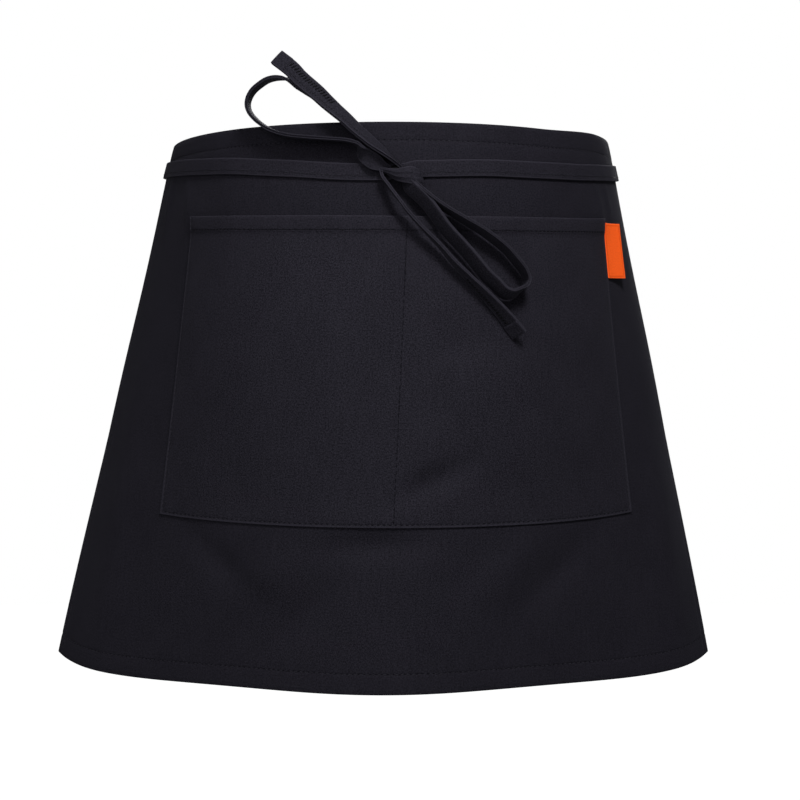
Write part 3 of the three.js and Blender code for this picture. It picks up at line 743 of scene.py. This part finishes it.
def sew(piece, start, end, pitch=STITCH_PITCH, length=None, width=THREAD, turn=0.0):
    """A row of stitches from one point of the flat cloth to another; turn leans each stitch off the row."""
    run = math.hypot(end[0] - start[0], end[1] - start[1])
    count = max(round(run / pitch), 1)
    step = Vector(((end[0] - start[0]) / count, (end[1] - start[1]) / count, 0))
    heading = math.atan2(step.y, step.x) + turn
    size = Matrix.Diagonal(((length or pitch - NEEDLE_GAP) / 2, width / 2, width / 2, 1))
    first = Matrix.Translation(Vector((*start, 0)) + step / 2)
    row = bmesh.new()
    bmesh.ops.create_uvsphere(row, u_segments=6, v_segments=4, radius=1,
                              matrix=first @ Matrix.Rotation(heading, 4, "Z") @ size)
    done = 1
    while done < count:
        more = min(done, count - done)
        parts = [list(kind)[:len(kind) // done * more] for kind in (row.verts, row.edges, row.faces)]
        made = bmesh.ops.duplicate(row, geom=sum(parts, []))
        bmesh.ops.translate(row, vec=step * done, verts=new_verts(made))
        done += more
    sewn = as_mesh("row", row)
    piece.from_mesh(sewn)
    bpy.data.meshes.remove(sewn)


def lay(name, piece, place, material):
    """Lays a flat piece in its worn place, with its flat measures in metres as its UV map."""
    flat = piece.loops.layers.uv.new("cloth")
    for face in piece.faces:
        for loop in face.loops:
            loop[flat].uv = (loop.vert.co.x * MM, loop.vert.co.y * MM)
    spots = np.array([vert.co for vert in piece.verts])
    worn = place(spots[:, 0], spots[:, 1], spots[:, 2]) * MM
    for vert, spot in zip(piece.verts, worn):
        vert.co = spot
    if piece.calc_volume(signed=True) < 0:
        bmesh.ops.reverse_faces(piece, faces=piece.faces[:])
    mesh = as_mesh(name, piece)
    mesh.shade_smooth()
    mesh.materials.append(material)
    made = scene_object(name, mesh)
    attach(made, "root")
    return made


def lay_stitches(name, seams, place, material):
    stitches = bmesh.new()
    for seam in seams:
        sew(stitches, *seam)
    return lay(name, stitches, place, material)


# Finishes

class Value:
    """A socket in a shader, for sums on it."""

    def __init__(self, tree, socket=None):
        self.tree = tree
        self.socket = socket

    def node(self, kind, settings=None, output=0, **sockets):
        """Any node, from its type, its settings, and the values or links of its sockets."""
        made = self.tree.nodes.new(kind)
        for name, value in (settings or {}).items():
            setattr(made, name, value)
        for name, value in sockets.items():
            target = made.inputs[int(name[1:]) if name[1:].isdigit() else name.replace("_", " ")]
            if isinstance(value, Value):
                self.tree.links.new(value.socket, target)
            else:
                target.default_value = value
        return Value(self.tree, made.outputs[output])

    def maths(self, operation, first, second=0.0, clamp=False):
        settings = {"operation": operation, "use_clamp": clamp}
        return self.node("ShaderNodeMath", settings, _0=first, _1=second)

    def __add__(self, other):
        return self.maths("ADD", self, other)

    __radd__ = __add__

    def __sub__(self, other):
        return self.maths("SUBTRACT", self, other)

    def __rsub__(self, other):
        return self.maths("SUBTRACT", other, self)

    def __mul__(self, other):
        return self.maths("MULTIPLY", self, other)

    def __abs__(self):
        return self.maths("ABSOLUTE", self)

    def sine(self):
        return self.maths("SINE", self)

    def clamped(self):
        return self.maths("ADD", self, 0.0, clamp=True)


def new_material(name):
    material = bpy.data.materials.new(name)
    material.use_nodes = True
    return material, material.node_tree.nodes["Principled BSDF"], Value(material.node_tree)


def link(value, shader, socket):
    value.tree.links.new(value.socket, shader.inputs[socket])


def mixed(shade, factor, first, second):
    return shade.node("ShaderNodeMix", {"data_type": "RGBA"}, output=2, _0=factor, _6=first, _7=second)


def flat_measures(shade):
    """The place on the flat cloth, in metres: as one value, and its measures along and up."""
    flat = shade.node("ShaderNodeUVMap", {"uv_map": "cloth"})
    parts = shade.node("ShaderNodeSeparateXYZ", Vector=flat)
    return flat, parts, Value(shade.tree, parts.socket.node.outputs[1])


def beside(u, v, start, end):
    """Distances along a line on the flat cloth and off it, and the line's length, all in metres."""
    length = math.hypot(end[0] - start[0], end[1] - start[1]) * MM
    dx, dy = (end[0] - start[0]) * MM / length, (end[1] - start[1]) * MM / length
    left, low = u - start[0] * MM, v - start[1] * MM
    return left * dx + low * dy, abs(left * dy - low * dx), length


def largest(values):
    first, *others = values
    for other in others:
        first = first.maths("MAXIMUM", first, other)
    return first


# Pitch and slant of the ribs and the yarns, and the reach of the needle holes, in metres
RIB_PITCH = 0.0009
RIB_SLANT = 0.62
YARN_PITCH = RIB_PITCH * 0.6
YARN_SLANT = 0.25
HOLE_REACH = 0.0006
HOLE_END = 0.001


def twill(name, dark, light, seams=(), highlight_lines=(), highlight_lift=0.0):
    """Fine dark twill: slanting ribs, uneven yarns, a soft sheen and needle holes along its seams, sunk in
    relief and darkened by painted shade. Along its rims a painted highlight makes it paler by the given
    amount."""
    material, shader, shade = new_material(name)
    flat, u, v = flat_measures(shade)
    rib = ((u * RIB_SLANT + v) * (TAU / RIB_PITCH)).sine()
    yarn = ((u - v * YARN_SLANT) * (TAU / YARN_PITCH)).sine()
    grain = shade.node("ShaderNodeTexNoise", Vector=flat, Scale=900.0, Detail=4.0, Roughness=0.75)
    slub = shade.node("ShaderNodeTexNoise",
                      Vector=shade.node("ShaderNodeMapping", Vector=flat, Scale=(1.0, 0.14, 1.0)),
                      Scale=420.0, Detail=2.0, Roughness=0.5)
    cloud = shade.node("ShaderNodeTexNoise", Vector=flat, Scale=26.0, Detail=2.0, Roughness=0.5)
    holes_and_painted_shade, worn = [], []
    # Painted shade: along each seam the needle holes are darkened in colour as well as sunk in relief
    for start, end, pitch in seams:
        run, across, length = beside(u, v, start, end)
        near = (1 - across * (1 / HOLE_REACH)).clamped()
        inside = (run * (1 / HOLE_END)).clamped() * ((length - run) * (1 / HOLE_END)).clamped()
        deep = pitch / STITCH_PITCH
        beat = (run * (TAU / (pitch * MM)) + math.pi / 2).sine()
        holes_and_painted_shade.append(near * inside * (beat * 0.5 + 0.7) * deep)
    # Painted highlight: the colour is lifted paler along each rim
    for start, end, spread in highlight_lines:
        _, across, _ = beside(u, v, start, end)
        worn.append((1 - across * (1 / (spread * MM))).clamped())
    # How strongly each part of the weave shows, in its tone and in its relief
    tone = 0.5 + (grain - 0.5) * 4.0 + (slub - 0.5) * 0.4 + (cloud - 0.5) * 0.3 + rib * 0.14 + yarn * 0.06
    height = rib * 0.3 + yarn * 0.18 + grain * 0.9 + slub * 0.5
    # Painted highlight along the rims
    if worn:
        tone = tone + largest(worn) * highlight_lift
    # Painted shade in the needle holes darkens the tone; the holes also sink the relief
    if holes_and_painted_shade:
        hole_and_painted_shade = largest(holes_and_painted_shade)
        tone = tone - hole_and_painted_shade * 0.55
        height = height - hole_and_painted_shade * 2.4
    link(mixed(shade, tone.clamped(), dark, light), shader, "Base Color")
    link(0.7 + (grain - 0.5) * 0.3 + (slub - 0.5) * 0.2, shader, "Roughness")
    bump = shade.node("ShaderNodeBump", Strength=0.55, Distance=0.00018, Height=height)
    link(bump, shader, "Normal")
    shader.inputs["Sheen Weight"].default_value = 0.02
    shader.inputs["Sheen Roughness"].default_value = 0.45
    shader.inputs["Sheen Tint"].default_value = (0.55, 0.55, 0.68, 1)
    shader.inputs["Specular IOR Level"].default_value = 0.02
    return material


def thread(name, dark, light):
    """Spun polyester thread: fine twisted strands."""
    material, shader, shade = new_material(name)
    place = shade.node("ShaderNodeTexCoord", output=3)
    strand = shade.node("ShaderNodeTexNoise", Vector=place, Scale=1500.0, Detail=2.0)
    link(mixed(shade, ((strand - 0.5) * 1.8 + 0.5).clamped(), dark, light), shader, "Base Color")
    link(0.5 + (strand - 0.5) * 0.4, shader, "Roughness")
    link(shade.node("ShaderNodeBump", Strength=0.5, Distance=0.0001, Height=strand), shader, "Normal")
    shader.inputs["Specular IOR Level"].default_value = 0.06
    return material


# The label's yarns and its border, in metres, and its two tones
WEFT_PITCH = 0.0005
WARP_PITCH = 0.0007
BORDER_INSET = 0.0016
BORDER_REACH = 0.0007
LABEL_DARK = (0.6, 0.055, 0.004, 1)
LABEL_LIGHT = (0.98, 0.13, 0.014, 1)


def label_weave(name):
    """Close satin weave with a plain border of raised yarns."""
    material, shader, shade = new_material(name)
    flat, u, v = flat_measures(shade)
    weft = (v * (TAU / WEFT_PITCH)).sine()
    warp = (u * (TAU / WARP_PITCH)).sine()
    fuzz = shade.node("ShaderNodeTexNoise", Vector=flat, Scale=900.0, Detail=3.0)
    edge_x = (LABEL_WIDTH / 2 * MM - abs(u)) - BORDER_INSET
    edge_y = (LABEL_HEIGHT / 2 * MM - abs(v + LABEL_HEIGHT / 2 * MM)) - BORDER_INSET
    border = (1 - abs(shade.maths("MINIMUM", edge_x, edge_y)) * (1 / BORDER_REACH)).clamped()
    tone = 0.5 + weft * 0.14 + warp * 0.1 + (fuzz - 0.5) * 0.9 - border * 0.45
    link(mixed(shade, tone.clamped(), LABEL_DARK, LABEL_LIGHT), shader, "Base Color")
    link(0.55 + (fuzz - 0.5) * 0.3, shader, "Roughness")
    height = weft * 0.5 + warp * 0.35 + fuzz * 0.5 + border * 1.5
    link(shade.node("ShaderNodeBump", Strength=0.5, Distance=0.00015, Height=height), shader, "Normal")
    shader.inputs["Specular IOR Level"].default_value = 0.1
    return material


CLOTH_DARK = (0.0048, 0.0045, 0.0066, 1)
CLOTH_LIGHT = (0.0155, 0.0145, 0.0199, 1)
PALER_LIGHT = (0.0188, 0.0176, 0.024, 1)
skirt_twill = twill("skirt_twill", CLOTH_DARK, CLOTH_LIGHT, SKIRT_SEAMS)
# The pocket's and the tapes' rims carry a painted highlight
pocket_twill = twill("pocket_twill", CLOTH_DARK, PALER_LIGHT, POCKET_SEAMS, POCKET_PAINTED_HIGHLIGHTS, highlight_lift=0.55)
tape_twill = twill("tape_twill", CLOTH_DARK, PALER_LIGHT, highlight_lines=TAPE_PAINTED_HIGHLIGHTS, highlight_lift=1.2)
seam_thread = thread("seam_thread", (0.006, 0.0057, 0.008, 1), (0.024, 0.0225, 0.03, 1))
pocket_thread = thread("pocket_thread", (0.009, 0.0086, 0.0115, 1), (0.028, 0.0265, 0.035, 1))
# Thread as black as the cloth, darkened further with painted shade so that its stitches show as dark slots
# and holes
black_thread_painted_shade = thread("black_thread_painted_shade", (0.0008, 0.0008, 0.001, 1), (0.004, 0.0038, 0.005, 1))
orange_weave = label_weave("orange_weave")

# Skirt
skirt = flat_piece(
    CLOTH_WIDTH, CLOTH_LENGTH, CLOTH_THICKNESS, columns=150, rows=96, rim=0.45,
    cuts_x=[*seam_cuts(-SKIRT_SIDE), *seam_cuts(SKIRT_SIDE)],
    cuts_y=[*seam_cuts(-TOP_STITCH), *seam_cuts(SKIRT_LOW)])
skirt_cloth = lay("skirt_cloth", skirt, skirt_place, skirt_twill)
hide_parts("skirt")
skirt_stitches = lay_stitches("skirt_stitches", SKIRT_SEAMS, skirt_place, seam_thread)

# Pocket
pocket = flat_piece(
    POCKET_BOTTOM_WIDTH, POCKET_HEIGHT, POCKET_THICKNESS, columns=132, rows=72, rim=0.45,
    cuts_x=[*seam_cuts(-POCKET_SIDE), *seam_cuts(POCKET_SIDE)],
    cuts_y=[*seam_cuts(-MOUTH_STITCH), *seam_cuts(POCKET_LOW)])
pocket_cloth = lay("pocket_cloth", pocket, pocket_place, pocket_twill)
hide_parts("patch_pocket")
pocket_edge_stitches = lay_stitches(
    "pocket_edge_stitches", POCKET_EDGE_SEAMS, pocket_place, pocket_thread)
pocket_stitches = lay_stitches(
    "pocket_mouth_and_centre_stitches", POCKET_MOUTH_AND_CENTRE_SEAMS, pocket_place, black_thread_painted_shade)

# Label
label = flat_piece(LABEL_WIDTH, LABEL_HEIGHT, LABEL_THICKNESS, columns=24, rows=48, rim=0.25)
label_cloth = lay("side_label_cloth", label, label_place, orange_weave)
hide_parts("side_label")


# Ties and bow
COLUMN_LENGTH = 1.6
FEWEST_COLUMNS = 40


def tape(length, columns, thickness=STRAP_THICKNESS, slit=True, tip=False):
    """A folded tape: its upper edge is open and shows two layers; a tip is turned over and sewn."""
    turned = length / 2 - TIP_LENGTH
    piece = flat_piece(length, TIE_WIDTH, thickness, columns, rows=8, rim=0.4,
                       cuts_x=[turned - TIP_BEND, turned + TIP_BEND] if tip else [])
    if slit:
        bmesh.ops.bisect_plane(piece, geom=everything(piece), dist=MERGE,
                               plane_co=(0, 0, -thickness / 2), plane_no=(0, 0, 1))
        for vert in piece.verts:
            between_layers = abs(vert.co.z + thickness / 2) < 0.05
            at_upper_edge = vert.co.y > -0.1
            if between_layers and at_upper_edge:
                vert.co.y -= SLIT_DEPTH
    if tip:
        for vert in piece.verts:
            if vert.co.x > turned and vert.co.z > -thickness / 2:
                vert.co.z += TIP_EXTRA
    return piece


ties = []
for side, name, node in ((-1, "tie_from_left_tape", "tie_from_left"),
                         (1, "tie_from_right_tape", "tie_from_right")):
    length = tie_length(side)
    flat_tape = tape(length, columns=220, thickness=TIE_THICKNESS)
    made = lay(name, flat_tape, tie_place(side), tape_twill)
    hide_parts(node)
    stitches = bmesh.new()
    row = TAPE_STITCH - TIE_WIDTH
    sew(stitches, (1 - length / 2, row), (length / 2, row), TAPE_PITCH, TAPE_STITCH_LENGTH)
    left, right = BOX_INSET - length / 2, TIE_LAP - ROW_INSET - length / 2
    low, high = BOX_INSET - TIE_WIDTH, -BOX_INSET
    for start, end in (((left, high), (left, low)), ((right, high), (right, low)),
                       ((left, high), (right, low)), ((left, low), (right, high))):
        sew(stitches, start, end)
    sewn = lay(name.replace("tape", "stitches"), stitches, tie_place(side), black_thread_painted_shade)
    ties.append((made, sewn, length))

straps = []
for name, node, route, pinch, tip in (("upper_loop", "bow_loop_upper", UPPER_LOOP, (9, 21), False),
                                      ("lower_loop", "bow_loop_lower", LOWER_LOOP, (3, 12), False),
                                      ("upper_end", "tie_end_upper", UPPER_END, (3, 14), True),
                                      ("lower_end", "tie_end_lower", LOWER_END, (3, 14), True)):
    length, place = bow_place(route, pinch)
    columns = max(round(length / COLUMN_LENGTH), FEWEST_COLUMNS)
    made = lay(name + "_tape", tape(length, columns, tip=tip), place, tape_twill)
    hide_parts(node)
    stitches = bmesh.new()
    row = -TAPE_STITCH
    sew(stitches, (-length / 2, row), (length / 2, row), TAPE_PITCH, TAPE_STITCH_LENGTH)
    if tip:
        end = length / 2 - TIP_LENGTH - BAR_GAP
        bars = (end - BARRED, BAR_UP - TIE_WIDTH), (end, BAR_UP - TIE_WIDTH)
        sew(stitches, *bars, BAR_PITCH, BAR_LENGTH, BAR_WIDTH, turn=math.radians(BAR_TURN))
        sew(stitches, (end + TIP_ROW, -ROW_INSET), (end + TIP_ROW, ROW_INSET - TIE_WIDTH),
            TAPE_PITCH, TIP_STITCH_LENGTH)
    sewn = lay(name + "_stitches", stitches, place, black_thread_painted_shade)
    straps.append((made, sewn, length))

# Knot: a core that the wound strap covers
core = bmesh.new()
halves = (KNOT_WIDTH / 2, KNOT_DEPTH / 2, KNOT_HEIGHT / 2)
size = Matrix.Diagonal([*((half - inset) * MM for half, inset in zip(halves, CORE_INSETS)), 1])
tilt = Matrix.Rotation(math.radians(-KNOT_TILT), 4, "Y")
spot = Matrix.Translation([part * MM for part in knot_middle()])
bmesh.ops.create_uvsphere(core, u_segments=32, v_segments=20, radius=1, matrix=spot @ tilt @ size)
knot_mesh = as_mesh("bow_knot_core", core)
knot_mesh.shade_smooth()
# The core takes the near-black thread colour: painted shade where it shows between the straps
knot_mesh.materials.append(black_thread_painted_shade)
knot_core = scene_object("bow_knot_core", knot_mesh)
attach(knot_core, "root")
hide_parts("bow_knot")
wrap_length, place = wrap_place()
knot_wrap = lay("bow_knot_wrap", tape(wrap_length, columns=48, slit=False), place, tape_twill)

# Each cloth's cut size, in metres
for made, sewn, length in ties:
    length * MM
for made, sewn, length in straps:
    length * MM
wrap_length * MM

# Floor and backdrop: the camera sees them nearly white, and they light the cloth less than that
FLOOR_HEIGHT = -0.95
FLOOR_SIZE = 7
FLOOR_GLOW = 0.92
SOFT_LIGHT = 0.18
ground = bmesh.new()
bmesh.ops.create_grid(ground, x_segments=2, y_segments=2, size=FLOOR_SIZE)
bmesh.ops.translate(ground, vec=(0, 0, FLOOR_HEIGHT), verts=ground.verts)
ground_mesh = as_mesh("floor", ground)
floor = scene_object("floor", ground_mesh)
floor_look, floor_shader, floor_shade = new_material("pale_floor")
floor_shader.inputs["Base Color"].default_value = (0.6, 0.6, 0.6, 1)
floor_shader.inputs["Roughness"].default_value = 0.9
link(floor_shade.node("ShaderNodeLightPath"), floor_shader, "Emission Color")
floor_shader.inputs["Emission Strength"].default_value = FLOOR_GLOW
ground_mesh.materials.append(floor_look)

world = bpy.data.worlds.new("studio")
bpy.context.scene.world = world
world.use_nodes = True
background = world.node_tree.nodes["Background"]
background.inputs["Color"].default_value = (1, 1, 1, 1)
seen = Value(world.node_tree).node("ShaderNodeLightPath")
link(seen * (1.0 - SOFT_LIGHT) + SOFT_LIGHT, background, "Strength")
bpy.context.scene.view_settings.view_transform = "Standard"


def softbox(name, spot, target, size, power):
    light = bpy.data.lights.new(name, "AREA")
    light.shape = "RECTANGLE"
    light.size = light.size_y = size
    light.energy = power
    lamp = scene_object(name, light)
    lamp.location = spot
    lamp.rotation_euler = (Vector(target) - Vector(spot)).to_track_quat("-Z", "Y").to_euler()


softbox("key_light", spot=(0.27, -1.02, 0.88), target=(0, -0.15, -0.1), size=0.35, power=24)
softbox("back_light", spot=(0.3, 1.6, 0.8), target=(0, 0, -0.15), size=1, power=34)
softbox("fill_light", spot=(-0.7, -1.4, 0.5), target=(0, -0.15, 0.02), size=1.1, power=10.5)

# Camera
camera = scene_object("camera", bpy.data.cameras.new("camera"))
camera.location = (0.0068, -1.736, -0.165)
camera.rotation_euler = (math.radians(90), 0, 0)
camera.data.sensor_width = 36
camera.data.lens = 102.86
bpy.context.scene.camera = camera
